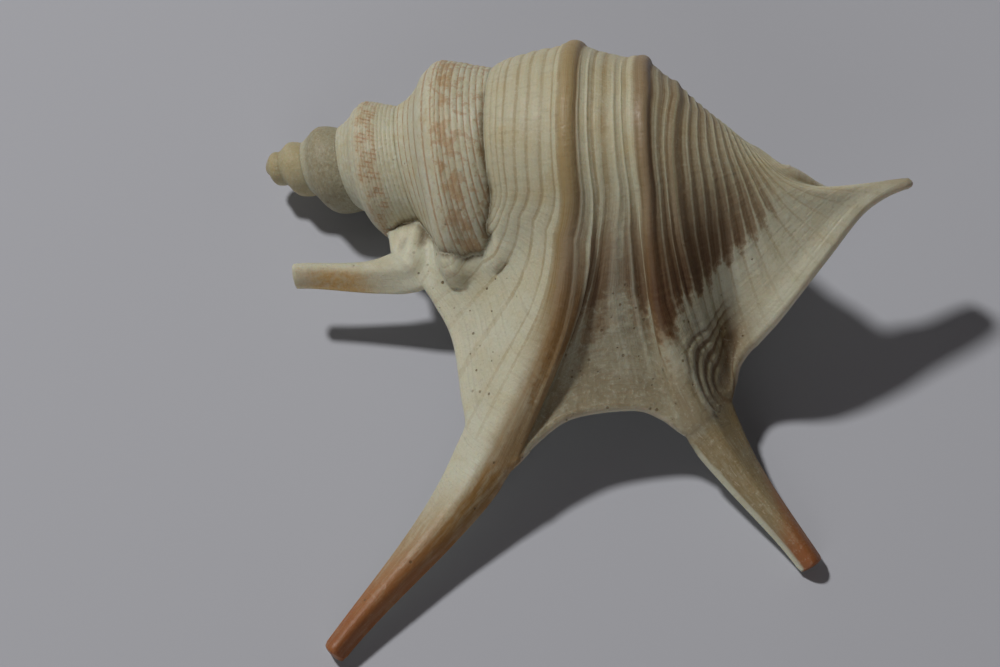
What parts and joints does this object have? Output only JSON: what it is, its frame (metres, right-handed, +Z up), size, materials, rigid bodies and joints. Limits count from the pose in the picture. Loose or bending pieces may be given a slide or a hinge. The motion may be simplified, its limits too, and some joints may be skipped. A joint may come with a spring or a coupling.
{
  "type": "pelican foot shell",
  "caption": "Sea snail shell with a high stepped spire and a wide lip drawn out into long fingers and a triangular beak, lying mouth down.",
  "frame": {"origin": "on the ground, under the middle of the length and width of the whole shell", "axes": "+X along the shell towards the beak, so the spire points to -X; -Y towards the ends of the two long fingers; +Z up, away from the mouth"},
  "size_m": [0.0432, 0.0428, 0.0167],
  "materials": {
    "shell": "satin, cream with brown grooves and orange finger ends"
  },
  "bodies": {
    "root": {"shell": "shell"}
  },
  "joints": []
}
